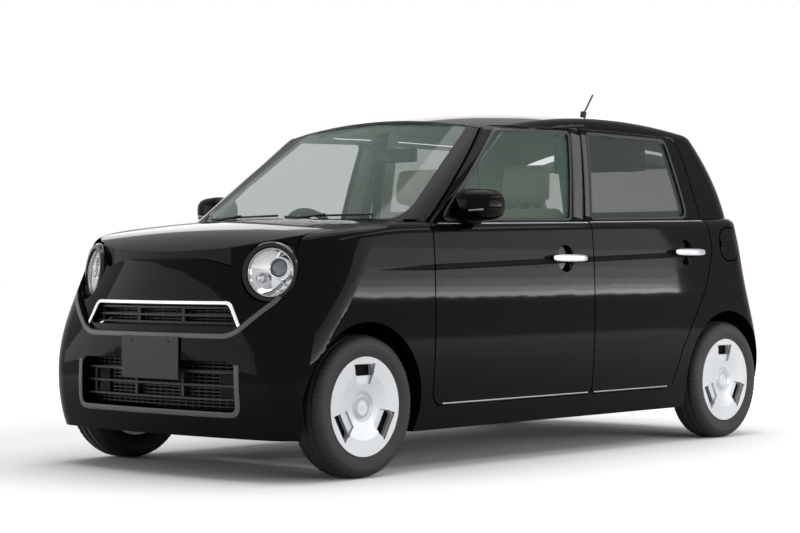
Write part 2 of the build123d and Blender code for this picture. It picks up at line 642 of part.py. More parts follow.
with BuildPart() as rear_axle:
    add(rod((REAR_AXLE + 70, -500, 282), (REAR_AXLE + 70, 500, 282), 30))
    for way in (1, -1):
        add(block(REAR_AXLE - 40, REAR_AXLE + 420, way * 495 - 25, way * 495 + 25, 255, 305))
        add(rod((REAR_AXLE, way * 470, TYRE_RADIUS), (REAR_AXLE, way * 600, TYRE_RADIUS), 45))
        add(rod((REAR_AXLE, way * 590, TYRE_RADIUS), (REAR_AXLE, way * (WHEEL_Y + 40), TYRE_RADIUS), SPINDLE))
        add(rod((REAR_AXLE + 70, way * 400, 282), (REAR_AXLE + 70, way * 400, 330 - FIT), 45))
save("rear_axle", [rear_axle.part])
with BuildPart() as exhaust:
    add(rod((FRONT_AXLE - 200, 0, 195), (REAR_AXLE - 140, 0, 195), 22))
    add(rod((REAR_AXLE - 180, -230, 240), (REAR_AXLE - 180, 230, 240), 60))
    add(rod((REAR_AXLE - 180, 190, 205), (REAR_AXLE - 224, 190, 150), 20))
    add(block(-20, 20, -12, 12, 195, 230 - FIT))
    for way in (1, -1):
        add(block(REAR_AXLE - 200, REAR_AXLE - 160, way * 150 - 12, way * 150 + 12, 280, 330 - FIT))
save("exhaust", [exhaust.part])
save("engine", [block(FRONT_AXLE - 190, FRONT_AXLE + 160, -300, 300, 226 + FIT, 760)])

# Cabin fittings
with BuildPart() as front_seat:
    add(panel(Plane.XZ, -530, 425, (
        (440, 330, 40), (430, 505, 50), (20, 490, 30), (-200, 1085, 50), (-300, 1075, 40),
        (-140, 470, 60), (-120, 330, 30))))
    add(panel(Plane.XZ, -435, 230, ((-212, 1120, 25), (-232, 1285, 40), (-310, 1275, 40), (-300, 1110, 25))))
    for y in (275, 365):
        add(rod((-250, y, 1050), (-258, y, 1160), 8))
        add(block(-60, 380, y * 2 - 328, y * 2 - 312, FLOOR_TOP + FIT, 340))
save("front_seats", both(front_seat.part))
with BuildPart() as rear_seat:
    add(panel(Plane.XZ, -560, 1120, (
        (-470, FLOOR_TOP + FIT, 10), (-460, 470, 50), (-810, 455, 30), (-960, 960, 40), (-1040, 955, 30),
        (-900, REAR_FLOOR + FIT, 20), (REAR_AXLE + 452, REAR_FLOOR + FIT, 0),
        (REAR_AXLE + 452, FLOOR_TOP + FIT, 0))))
    for way in (1, -1):
        add(rod((REAR_AXLE, way * 495, TYRE_RADIUS), (REAR_AXLE, way * 900, TYRE_RADIUS), ARCH_RADIUS + 25),
            mode=Mode.SUBTRACT)
    add(block(REAR_AXLE + 400, DOOR_FRONT, -92, 92, 0, 262), mode=Mode.SUBTRACT)
save("rear_seat", [rear_seat.part])
with BuildPart() as dashboard:
    add(panel(Plane.XZ, -590, 1180, (
        (DOOR_FRONT - 30 - FIT, 560, 0), (DOOR_FRONT - 30 - FIT, 940, 30), (DOOR_FRONT - 240, 965, 40),
        (DOOR_FRONT - 330, 860, 60), (DOOR_FRONT - 250, 560, 40))))
    for way in (1, -1):
        add(block(front_axis_x - 32, front_axis_x + 42, way * 600 - 42, way * 600 + 42, 100, 1000),
            mode=Mode.SUBTRACT)
save("dashboard", [dashboard.part])
STEERING = Plane((DOOR_FRONT - 420, -330, 905), z_dir=(-0.88, 0, 0.47))
with BuildPart() as steering_wheel:
    with BuildSketch(Plane(STEERING.origin, x_dir=STEERING.z_dir, z_dir=STEERING.y_dir)):
        with Locations((0, 172)):
            Circle(14)
    revolve(axis=Axis(STEERING.origin, STEERING.z_dir))
    with BuildSketch(STEERING.offset(-12)):
        Circle(60)
        Rectangle(345, 34)
    extrude(amount=22)
    with BuildSketch(STEERING.offset(-105)):
        Circle(32)
    extrude(amount=100)
    add(dashboard.part, mode=Mode.SUBTRACT)
save("steering_wheel", [steering_wheel.part.solids().sort_by(SortBy.VOLUME)[-1]])

# Antenna on the roof
with BuildPart() as antenna:
    add(rod((FRONT_AXLE - 1868, 360, 1470), (FRONT_AXLE - 1884, 360, 1525), 14))
    add(rod((FRONT_AXLE - 1878, 360, 1510), (FRONT_AXLE - 1954, 360, 1608), 4))
    add(clear_skin, mode=Mode.SUBTRACT)
save("antenna", [antenna.part])
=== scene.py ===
import math

import bmesh
import bpy
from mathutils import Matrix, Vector
from mathutils.bvhtree import BVHTree


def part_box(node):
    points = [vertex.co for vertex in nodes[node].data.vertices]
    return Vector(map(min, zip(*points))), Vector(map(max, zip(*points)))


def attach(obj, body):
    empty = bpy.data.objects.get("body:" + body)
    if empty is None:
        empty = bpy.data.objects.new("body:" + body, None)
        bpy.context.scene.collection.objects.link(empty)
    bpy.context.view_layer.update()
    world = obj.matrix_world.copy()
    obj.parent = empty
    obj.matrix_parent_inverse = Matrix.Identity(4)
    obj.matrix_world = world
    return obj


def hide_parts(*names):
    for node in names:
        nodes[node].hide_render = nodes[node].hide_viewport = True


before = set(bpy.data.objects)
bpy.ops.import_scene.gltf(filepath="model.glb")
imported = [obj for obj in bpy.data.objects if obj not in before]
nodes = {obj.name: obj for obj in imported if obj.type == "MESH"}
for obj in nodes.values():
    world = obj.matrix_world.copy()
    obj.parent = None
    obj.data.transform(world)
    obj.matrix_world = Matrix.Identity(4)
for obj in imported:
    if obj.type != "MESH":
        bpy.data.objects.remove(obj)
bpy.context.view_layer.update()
sides = {"left": 1, "right": -1}


# Places on the car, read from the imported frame
def middle(name):
    low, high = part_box(name)
    return (Vector(low) + Vector(high)) / 2


frontAxle = middle("tyre_front_left").x
rearAxle = middle("tyre_rear_left").x
tyreRadius = middle("tyre_front_left").z
shutLine = 0.007
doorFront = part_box("front_door_left")[1][0]
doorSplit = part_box("rear_door_left")[1][0] + shutLine
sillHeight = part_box("front_door_left")[0][2]
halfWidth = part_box("front_door_left")[1][1]
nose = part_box("front_bumper")[1][0]
cowl = frontAxle - 0.282
print("frame loaded")


def scaled(tree, value, low, high):
    span = tree.nodes.new("ShaderNodeMapRange")
    span.inputs["To Min"].default_value = low
    span.inputs["To Max"].default_value = high
    tree.links.new(value, span.inputs["Value"])
    return span.outputs["Result"]


# Materials: noise in object space varies colour and roughness, a finer noise gives the grain
def finish(name, colour, rough=0.5, metal=0.0, coat=0.0, specular=0.5, sheen=0.0,
           spread=0.08, roughSpread=0.15, blotch=6.0, grain=400.0, bump=0.0, coatIor=1.5, clear=None):
    material = bpy.data.materials.new(name)
    material.use_nodes = True
    tree = material.node_tree
    shader = tree.nodes["Principled BSDF"]
    shader.inputs["Metallic"].default_value = metal
    shader.inputs["Coat Weight"].default_value = coat
    shader.inputs["Coat Roughness"].default_value = 0.04
    shader.inputs["Specular IOR Level"].default_value = specular
    shader.inputs["Coat IOR"].default_value = coatIor
    shader.inputs["Sheen Weight"].default_value = sheen
    place = tree.nodes.new("ShaderNodeTexCoord")
    patches = tree.nodes.new("ShaderNodeTexNoise")
    patches.inputs["Scale"].default_value = blotch
    patches.inputs["Detail"].default_value = 4
    tree.links.new(place.outputs["Object"], patches.inputs["Vector"])
    tint = tree.nodes.new("ShaderNodeMix")
    tint.data_type = "RGBA"
    tint.inputs["A"].default_value = (*[c * (1 - spread) for c in colour], 1)
    tint.inputs["B"].default_value = (*[min(1, c * (1 + spread)) for c in colour], 1)
    tree.links.new(patches.outputs["Fac"], tint.inputs["Factor"])
    tree.links.new(tint.outputs["Result"], shader.inputs["Base Color"])
    smoothest = rough * (1 - roughSpread)
    roughest = min(1, rough * (1 + roughSpread))
    tree.links.new(scaled(tree, patches.outputs["Fac"], smoothest, roughest), shader.inputs["Roughness"])
    if clear is not None:  # panes: see-through face on, closing towards grazing looks
        edge = tree.nodes.new("ShaderNodeLayerWeight")
        edge.inputs["Blend"].default_value = 0.12
        tree.links.new(scaled(tree, edge.outputs["Facing"], clear, 1), shader.inputs["Alpha"])
    if bump:
        fine = tree.nodes.new("ShaderNodeTexNoise")
        fine.inputs["Scale"].default_value = grain
        fine.inputs["Detail"].default_value = 2
        relief = tree.nodes.new("ShaderNodeBump")
        relief.inputs["Strength"].default_value = bump
        relief.inputs["Distance"].default_value = 0.0006
        tree.links.new(place.outputs["Object"], fine.inputs["Vector"])
        tree.links.new(fine.outputs["Fac"], relief.inputs["Height"])
        tree.links.new(relief.outputs["Normal"], shader.inputs["Normal"])
    return material


look = {
    "paint": finish("paint", (0.0016, 0.0019, 0.0021), 0.35, coat=0.50, coatIor=1.22, specular=0.0,
                    blotch=2.0),
    "clearGlass": finish("clear_glass", (0.10, 0.17, 0.135), 0.02, spread=0.02, clear=0.09),
    "privacyGlass": finish("privacy_glass", (0.020, 0.030, 0.026), 0.02, spread=0.02, clear=0.36),
    "lensGlass": finish("lens_glass", (0.20, 0.21, 0.22), 0.02, spread=0.02, clear=0.05),
    "rubber": finish("rubber", (0.010, 0.010, 0.011), 0.62, bump=0.3, grain=500, specular=0.3),
    "trim": finish("black_trim", (0.014, 0.014, 0.015), 0.5, bump=0.35, grain=900, specular=0.3),
    "glossTrim": finish("gloss_trim", (0.005, 0.005, 0.006), 0.12, specular=0.3),
    # matte black for painted shade: the crease line, the discs behind the wheel covers and the sheets behind
    # the grilles
    "painted_shade": finish("painted_shade", (0.001, 0.001, 0.001), 0.6, specular=0.05),
    "pillar": finish("pillar_satin", (0.034, 0.037, 0.039), 0.42, bump=0.1, specular=0.3),
    "band": finish("face_band", (0.060, 0.066, 0.070), 0.42, metal=0.25, bump=0.05),
    "plate": finish("blank_plate", (0.009, 0.012, 0.013), 0.38, specular=0.25, bump=0.05),
    "cover": finish("wheel_cover", (0.43, 0.442, 0.455), 0.36, metal=0.25, coat=0.15, bump=0.04, grain=1500),
    "chrome": finish("chrome", (0.84, 0.85, 0.86), 0.06, metal=1.0, spread=0.02),
    "handleChrome": finish("handle_chrome", (0.46, 0.47, 0.49), 0.14, metal=1.0, spread=0.05),
    # thin metal lines painted where highlights run along the door shoulder and lower edge
    "paintedHighlight": finish("painted_highlight", (0.24, 0.25, 0.26), 0.30, metal=1.0, spread=0.05),
    "projector": finish("projector_lens", (0.20, 0.22, 0.23), 0.06, coat=1.0),
    "silver": finish("silver_trim", (0.62, 0.63, 0.65), 0.24, metal=1.0, spread=0.03),
    "iron": finish("chassis", (0.020, 0.020, 0.021), 0.6, metal=0.3, bump=0.4, grain=120),
    "redLens": finish("red_lens", (0.24, 0.004, 0.005), 0.12, coat=0.3),
    "beigeCloth": finish("beige_cloth", (0.46, 0.41, 0.33), 0.9, sheen=0.3, bump=0.5, grain=700),
    "darkCloth": finish("dark_cloth", (0.055, 0.050, 0.046), 0.9, sheen=0.3, bump=0.5, grain=700),
    "headliner": finish("headliner", (0.40, 0.385, 0.35), 0.85, bump=0.3, grain=600),
    "innerTrim": finish("inner_trim", (0.045, 0.043, 0.040), 0.7, bump=0.4, grain=500),
    "mirrorGlass": finish("mirror_glass", (0.80, 0.82, 0.84), 0.02, metal=1.0, spread=0.02),
    "whiteLens": finish("white_lens", (0.26, 0.25, 0.25), 0.15, coat=0.4),
}

finishByNode = {
    "windscreen": "clearGlass", "front_door_glass": "clearGlass", "rear_door_glass": "privacyGlass",
    "tailgate_glass": "privacyGlass", "headlamp_lenses": "lensGlass", "headlamps": "glossTrim",
    "wheel": "cover", "tyre": "rubber", "front_door_handle": "chrome", "rear_door_handle": "chrome",
    "tail_lamps": "redLens", "front_seats": "beigeCloth", "rear_seat": "darkCloth",
    "dashboard": "innerTrim", "steering_wheel": "trim", "upper_grille": "trim", "lower_grille": "trim",
    "antenna": "trim", "front_subframe": "iron", "rear_axle": "iron", "engine": "iron",
    "exhaust": "iron", "front_knuckle": "iron",
}
for name, node in nodes.items():
    key = max((k for k in finishByNode if name.startswith(k)), key=len, default=None)
    node.data.materials.clear()
    node.data.materials.append(look[finishByNode[key] if key else "paint"])

# Inside faces of the shell, doors and tailgate are lined: pale above the belt, dark below
cabin = {"axisLow": -1.05, "axisHigh": 0.35, "axisHeight": 0.95, "belt": 0.985,
         "back": -1.6, "front": doorFront - 0.02, "facing": 0.45}
linedPanels = ("body_shell", "tailgate", "front_door_left", "front_door_right",
               "rear_door_left", "rear_door_right")
for name in linedPanels:
    mesh = nodes[name].data
    mesh.materials.append(look["headliner"])
    mesh.materials.append(look["innerTrim"])
    for face in mesh.polygons:
        place = face.center
        heartX = min(max(place.x, cabin["axisLow"]), cabin["axisHigh"])
        inward = Vector((heartX, 0, cabin["axisHeight"])) - place
        facesIn = face.normal.dot(inward) > cabin["facing"] * inward.length
        if facesIn and cabin["back"] < place.x < cabin["front"]:
            face.material_index = 1 if place.z > cabin["belt"] else 2
print("finishes set")


# Mesh helpers
def meshPiece(name, points, faces, material, body, smooth=True):
    mesh = bpy.data.meshes.new(name)
    mesh.from_pydata(points, [], faces)
    mesh.materials.append(material)
    mesh.polygons.foreach_set("use_smooth", [smooth] * len(faces))
    piece = bpy.data.objects.new(name, mesh)
    bpy.context.collection.objects.link(piece)
    if body:
        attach(piece, body)
    return piece


def surfaceOf(*names):
    points, faces = [], []
    for name in names:
        mesh = nodes[name].data
        start = len(points)
        points += [vertex.co.copy() for vertex in mesh.vertices]
        faces += [[start + i for i in face.vertices] for face in mesh.polygons]
    return BVHTree.FromPolygons(points, faces)


# Where a straight look meets a surface: u, v are x, z from a side and y, z from an end
lookFrom = 3


def meet(surface, view, u, v):
    origin, way = {
        "left": (Vector((u, lookFrom, v)), Vector((0, -1, 0))),
        "right": (Vector((u, -lookFrom, v)), Vector((0, 1, 0))),
        "front": (Vector((lookFrom, u, v)), Vector((-1, 0, 0))),
        "rear": (Vector((-lookFrom, u, v)), Vector((1, 0, 0))),
    }[view]
    place, normal = surface.ray_cast(origin, way)[:2]
    if place is None:
        return None, None
    return place, -normal if normal.dot(way) > 0 else normal


# Corners (u, v, radius) to a path, each corner turned on a quadratic curve
cornerSteps = 8


def rounded(corners, closed=False):
    path = []
    count = len(corners)
    for i, (u, v, radius) in enumerate(corners):
        here = Vector((u, v))
        if radius == 0 or (not closed and i in (0, count - 1)):
            path.append(here)
            continue
        before = (Vector(corners[i - 1][:2]) - here).normalized()
        after = (Vector(corners[(i + 1) % count][:2]) - here).normalized()
        tangent = radius * math.tan((math.pi - before.angle(after)) / 2)
        before, after = before * tangent, after * tangent
        for k in range(cornerSteps + 1):
            t = k / cornerSteps
            path.append(here + before * (1 - t) ** 2 + after * t ** 2)
    return path


def evenly(path, step, closed=False):
    points = path + [path[0]] if closed else path
    out = []
    for a, b in zip(points, points[1:]):
        parts = max(1, round((b - a).length / step))
        out += [a.lerp(b, k / parts) for k in range(parts)]
    return out if closed else out + [points[-1]]


# A thin raised strip along a path on a surface; an edge that would drop off it stays in its plane
strip = {"step": 0.012, "sink": 0.001, "dropShare": 0.12, "leastDrop": 0.001, "longestJoin": 0.05}


def ribbon(name, body, surface, view, path, width, material, lift=0.0012, columns=2,
           closed=False, taper=(1, 1)):
    samples = evenly(path, strip["step"], closed)
    count = len(samples)
    largestDrop = strip["dropShare"] * width + strip["leastDrop"]
    points, faces, last = [], [], None
    for i in range(count + (1 if closed else 0)):
        here = samples[i % count]
        ahead = samples[(i + 1) % count] if closed or i < count - 1 else here
        behind = samples[i - 1] if closed or i else here
        along = (ahead - behind).normalized()
        share = taper[0] + (taper[1] - taper[0]) * (i / (count - 1))
        across = Vector((-along.y, along.x)) * width * share
        middlePlace, middleNormal = meet(surface, view, *here)
        if middlePlace is None:
            continue
        start = len(points)
        row = []
        for c in range(columns + 1):
            step = across * (c / columns - 0.5)
            place, normal = meet(surface, view, *(here + step))
            if place is None or abs((place - middlePlace).dot(middleNormal)) > largestDrop:
                shift = Vector((0, *step)) if view in ("front", "rear") else Vector((step.x, 0, step.y))
                place = middlePlace + shift - middleNormal * shift.dot(middleNormal)
                normal = middleNormal
            row.append((place, normal))
        points.append(row[0][0] - row[0][1] * strip["sink"])
        points += [place + normal * lift for place, normal in row]
        points.append(row[-1][0] - row[-1][1] * strip["sink"])
        joined = last is not None and (points[start + 1] - points[last + 1]).length < strip["longestJoin"]
        if joined:
            for c in range(columns + 2):
                faces.append((last + c, last + c + 1, start + c + 1, start + c))
        last = start
    meshPiece(name, points, faces, material, body)


# A turned form about an axis: profile (along, radius)
def turned(name, body, origin, axis, profile, material, steps=64, shape=None):
    axis = Vector(axis).normalized()
    first = axis.orthogonal().normalized()
    second = axis.cross(first)
    points, faces = [], []
    rows = len(profile)
    for s in range(steps):
        angle = 2 * math.pi * s / steps
        spoke = first * math.cos(angle) + second * math.sin(angle)
        for k, (along, radius) in enumerate(profile):
            reach = shape(s, k, radius) if shape else radius
            points.append(Vector(origin) + axis * along + spoke * reach)
        for k in range(rows - 1):
            t = (s + 1) % steps
            faces.append((s * rows + k, s * rows + k + 1, t * rows + k + 1, t * rows + k))
    return meshPiece(name, points, faces, material, body)


# A round bar along points
def bar(name, body, path, radius, material, steps=10):
    points, faces = [], []
    for i, here in enumerate(path):
        along = (path[min(i + 1, len(path) - 1)] - path[max(i - 1, 0)]).normalized()
        first = along.orthogonal().normalized()
        second = along.cross(first)
        for s in range(steps):
            angle = 2 * math.pi * s / steps
            points.append(here + (first * math.cos(angle) + second * math.sin(angle)) * radius)
    for i in range(len(path) - 1):
        for s in range(steps):
            t = (s + 1) % steps
            faces.append((i * steps + s, i * steps + t, (i + 1) * steps + t, (i + 1) * steps + s))
    faces.append(tuple(reversed(range(steps))))
    faces.append(tuple(range(len(points) - steps, len(points))))
    meshPiece(name, points, faces, material, body)


# Rounded lobes in one mesh: middle, half sizes, squareness; the outer end may draw back and thin
def lobes(name, body, forms, material, way=1, sweep=0.0, thin=0.0, rows=20, columns=40):
    points, faces = [], []
    for center, half, square in forms:
        start, power = len(points), 2 / square
        for i in range(rows + 1):
            tilt = math.pi * (i / rows - 0.5)
            ring, rise = math.cos(tilt) ** power, math.copysign(abs(math.sin(tilt)) ** power, tilt)
            for j in range(columns):
                turn = 2 * math.pi * j / columns
                x = ring * math.copysign(abs(math.cos(turn)) ** power, math.cos(turn))
                y = ring * math.copysign(abs(math.sin(turn)) ** power, math.sin(turn))
                out = (1 + y * way) / 2
                slim = 1 - thin * out
                offset = Vector((half[0] * (x * slim - sweep * out), half[1] * y, half[2] * rise * slim))
                points.append(Vector(center) + offset)
        for i in range(rows):
            for j in range(columns):
                k = (j + 1) % columns
                a, b = start + i * columns, start + (i + 1) * columns
                faces.append((a + j, a + k, b + k, b + j))
    return meshPiece(name, points, faces, material, body)


# A box with rounded edges
def softBox(name, body, center, size, radius, material):
    shape = bmesh.new()
    bmesh.ops.create_cube(shape, size=1)
    bmesh.ops.scale(shape, vec=size, verts=shape.verts)
    bmesh.ops.bevel(shape, geom=shape.edges[:], offset=radius, segments=4, profile=0.5, affect="EDGES")
    bmesh.ops.translate(shape, vec=center, verts=shape.verts)
    mesh = bpy.data.meshes.new(name)
    shape.to_mesh(mesh)
    shape.free()
    mesh.materials.append(material)
    piece = bpy.data.objects.new(name, mesh)
    bpy.context.collection.objects.link(piece)
    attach(piece, body)


# Tyres with rib grooves, shoulder slots and sidewall rings
tyre = {
    "steps": 288, "slots": 72, "slotDepth": 0.005, "slotFrom": 0.045, "slotTo": 0.071, "slotLeast": 0.255,
    "grooves": (-0.036, 0.0, 0.036), "grooveHalf": 0.004, "grooveDepth": 0.007, "grooveEase": 0.001,
    "wall": ((-0.052, 0.1787), (-0.060, 0.190), (-0.066, 0.196), (-0.0665, 0.200), (-0.0725, 0.212),
             (-0.0760, 0.226), (-0.0755, 0.229), (-0.0768, 0.232), (-0.0760, 0.244), (-0.0700, 0.259),
             (-0.0620, 0.2675), (-0.0500, tyreRadius - 0.0025)),
}


def treadProfile():
    top, ease = tyreRadius, tyre["grooveEase"]
    bottom = top - tyre["grooveDepth"]
    crown = []
    for center in tyre["grooves"]:
        a, b = center - tyre["grooveHalf"], center + tyre["grooveHalf"]
        crown += [(a - ease, top), (a, top - ease), (a + ease, bottom),
                  (b - ease, bottom), (b, top - ease), (b + ease, top)]
    return [*tyre["wall"], *crown, *((-along, radius) for along, radius in reversed(tyre["wall"]))]


tread = treadProfile()


def shoulderSlots(step, row, radius):
    inSlot = step % (tyre["steps"] // tyre["slots"]) == 0
    onShoulder = tyre["slotFrom"] < abs(tread[row][0]) < tyre["slotTo"] and radius > tyre["slotLeast"]
    return radius - tyre["slotDepth"] if inSlot and onShoulder else radius


# Wheel caps with a raised ring, and the dark shade seen through the covers' recesses
wheelCap = {
    "inset": 0.0165, "steps": 48, "shade": ((-0.016, 0.088), (-0.016, 0.172)),
    "outline": ((-0.012, 0.049), (-0.006, 0.049), (-0.0035, 0.046), (-0.002, 0.037), (0.0, 0.0365),
                (0.0, 0.0345), (-0.002, 0.034), (-0.0005, 0.018), (0.0, 0.0)),
}
for name in [n for n in nodes if n.startswith("tyre_")]:
    corner = name[5:]
    body = name.replace("tyre", "road_wheel")
    piece = turned(f"tread_{corner}", body, middle(name), (0, 1, 0), tread, look["rubber"],
                   tyre["steps"], shoulderSlots)
    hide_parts(name)
    way = 1 if "left" in name else -1
    wheelLow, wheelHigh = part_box("wheel_" + name[5:])
    outside = wheelHigh[1] if way > 0 else wheelLow[1]
    hub = Vector((middle(name).x, outside - way * wheelCap["inset"], tyreRadius))
    for label, outline, material in (("cover_shade", "shade", "painted_shade"), ("cap", "outline", "cover")):
        turned(f"{label}_{corner}", body, hub, (0, way, 0), wheelCap[outline], look[material],
               wheelCap["steps"])
print("tyres and caps made")


# Crease along each flank, drawn as a matte black stripe of painted shade, cut at the door edges
crease = {
    "start": (frontAxle - 0.067, 0.797), "kink": (frontAxle - 1.132, 0.833),
    "end": (frontAxle - 2.470, 0.8755), "width": 0.024, "lift": 0.0008, "step": 0.02,
    "inset": 0.0005, "fenderInset": 0.0015, "rearDoorBack": rearAxle + 0.131,
}


def creaseHeight(x):
    aheadOfKink = x > crease["kink"][0]
    a, b = (crease["start"], crease["kink"]) if aheadOfKink else (crease["kink"], crease["end"])
    return a[1] + (b[1] - a[1]) * (a[0] - x) / (a[0] - b[0])


creaseSpans = {
    "fender": (crease["start"][0], doorFront + shutLine + crease["fenderInset"], (0.08, 1)),
    "front_door": (doorFront - crease["inset"], doorSplit + crease["inset"], (1, 1)),
    "rear_door": (doorSplit - shutLine - crease["inset"], crease["rearDoorBack"], (1, 1)),
    "quarter": (crease["rearDoorBack"] - shutLine - crease["inset"], crease["end"][0], (1, 0.1)),
}
for side in sides:
    carriers = {
        "fender": ("front_fenders", "car_body"),
        "front_door": (f"front_door_{side}", f"front_door_body_{side}"),
        "rear_door": (f"rear_door_{side}", f"rear_door_body_{side}"),
        "quarter": ("body_shell", "car_body"),
    }
    for label, (x0, x1, taper) in creaseSpans.items():
        node, body = carriers[label]
        parts = max(2, round((x0 - x1) / crease["step"]))
        stations = [x0 + (x1 - x0) * k / parts for k in range(parts + 1)]
        path = [Vector((x, creaseHeight(x))) for x in stations]
        ribbon(f"crease_{label}_{side}", body, surfaceOf(node), side, path, crease["width"],
               look["painted_shade"], lift=crease["lift"], columns=3, taper=taper)
print("crease made")


# Window rubbers, mirror sails, satin pillars and thin metal lines of painted highlight along the door
# shoulders and lower edges
doors = ("front", "rear")
windows = {
    "front": ((cowl - 0.215, 1.004, 0.025), (cowl - 0.650, 1.378, 0.040),
              (doorSplit + 0.035, 1.390, 0.025), (doorSplit + 0.108, 1.020, 0.025)),
    "rear": ((doorSplit - 0.060, 1.026, 0.025), (doorSplit - 0.112, 1.392, 0.025),
             (rearAxle + 0.366, 1.388, 0.045), (rearAxle + 0.272, 1.044, 0.040)),
}


# Corners pushed outwards, every edge by the same amount
def grown(corners, amount):
    center = sum((Vector(c[:2]) for c in corners), Vector((0, 0))) / len(corners)
    out = []
    for i, (u, v, radius) in enumerate(corners):
        here = Vector((u, v))
        before = (here - Vector(corners[i - 1][:2])).normalized()
        after = (Vector(corners[(i + 1) % len(corners)][:2]) - here).normalized()
        push = Vector((0, 0))
        for edge in (before, after):
            normal = Vector((-edge.y, edge.x))
            if normal.dot(here - center) < 0:
                normal = -normal
            push += normal
        push *= amount / max(0.3, 1 + before.dot(after))
        out.append((here.x + push.x, here.y + push.y, radius))
    return out


rubberTrim = {"width": 0.013, "offset": 0.0072, "lift": 0.0025}
sail = {"path": ((cowl - 0.222, 1.008), (cowl - 0.335, 1.050)), "width": 0.094, "lift": 0.003,
        "taper": (0.03, 1)}
pillars = {
    "front": {"path": ((doorSplit + 0.046, 1.022), (doorSplit - 0.019, 1.392)), "width": 0.066},
    "rear": {"path": ((doorSplit - 0.0285, 1.030), (doorSplit - 0.0815, 1.392)), "width": 0.036},
}
# Painted highlights: a thin line under the windows and one along each door's lower edge
beltHighlight = {
    "width": 0.005, "lift": 0.0015,
    "front": ((cowl - 0.165, 0.984), (doorSplit + 0.004, 1.003)),
    "rear": ((doorSplit - 0.011, 1.0055), (rearAxle + 0.172, 1.0255)),
}
lowerHeight = sillHeight + 0.006
lowerHighlight = {
    "width": 0.006, "lift": 0.002,
    "front": ((doorFront - 0.06, lowerHeight), (doorSplit + 0.012, lowerHeight)),
    "rear": ((doorSplit - 0.02, lowerHeight), (rearAxle + 0.482, lowerHeight)),
}


def straight(ends):
    return [Vector(end) for end in ends]


for side in sides:
    skin = {door: surfaceOf(f"{door}_door_{side}") for door in doors}
    body = {door: f"{door}_door_body_{side}" for door in doors}
    for door in doors:
        edge = rounded(grown(windows[door], rubberTrim["offset"]), True)
        ribbon(f"{door}_door_rubber_{side}", body[door], skin[door], side, edge, rubberTrim["width"],
               look["trim"], rubberTrim["lift"], closed=True)
    sailSkin = surfaceOf(f"front_door_{side}", f"front_door_glass_{side}")
    ribbon(f"mirror_sail_{side}", body["front"], sailSkin, side, straight(sail["path"]), sail["width"],
           look["glossTrim"], sail["lift"], columns=6, taper=sail["taper"])
    for door in doors:
        ribbon(f"pillar_{door}_{side}", body[door], skin[door], side, straight(pillars[door]["path"]),
               pillars[door]["width"], look["pillar"], columns=4)
    for label, line in (("belt_highlight", beltHighlight), ("lower_highlight", lowerHighlight)):
        for door in doors:
            ribbon(f"{door}_door_{label}_{side}", body[door], skin[door], side, straight(line[door]),
                   line["width"], look["paintedHighlight"], line["lift"])
print("side trim made")


# Face: band under it, grille trim, grille slats, blank plate
faceEdge = ((-0.600, 1.010, 0), (-0.600, 0.800, 0.06), (-0.572, 0.690, 0.07), (-0.415, 0.560, 0.15),
            (0.415, 0.560, 0.15), (0.572, 0.690, 0.07), (0.600, 0.800, 0.06), (0.600, 1.010, 0))
upperGrille = ((-0.422, 0.584, 0), (-0.377, 0.664, 0.02), (0.377, 0.664, 0.02), (0.422, 0.584, 0))
lowerGrille = ((-0.440, 0.452, 0.04), (-0.446, 0.262, 0.03), (0.446, 0.262, 0.03), (0.440, 0.452, 0.04))
band = {"offset": 0.0135, "width": 0.020, "lift": 0.0016}
silverTrim = {"offset": 0.008, "width": 0.013, "lift": 0.006, "foot": 0.584, "turn": 0.022}
grilleFrame = {"offset": 0.012, "width": 0.021, "lift": 0.003, "head": 0.440, "turn": 0.01}
bandPath = grown(faceEdge, band["offset"])[1:-1]
silverPath = [(y, max(z, silverTrim["foot"]), radius + silverTrim["turn"])
              for y, z, radius in grown(upperGrille, silverTrim["offset"])]
framePath = [(y, min(z, grilleFrame["head"]), radius + grilleFrame["turn"])
             for y, z, radius in grown(lowerGrille, grilleFrame["offset"])]
ribbon("face_band", "car_body", surfaceOf("front_bumper", "front_fenders"), "front", rounded(bandPath),
       band["width"], look["band"], band["lift"], columns=4)
ribbon("upper_grille_trim", "car_body", surfaceOf("front_face"), "front", rounded(silverPath),
       silverTrim["width"], look["silver"], silverTrim["lift"], columns=4)
ribbon("lower_grille_frame", "car_body", surfaceOf("front_bumper"), "front", rounded(framePath),
       grilleFrame["width"], look["band"], grilleFrame["lift"], columns=4)

# Slats and ribs on a bowed face, with a black sheet behind them as painted shade inside the grille
slat = {"parts": 16, "rowHalf": 0.0022, "rowDeep": 0.006, "ribHalf": 0.0016, "ribDeep": 0.005,
        "sheetBack": 0.03}


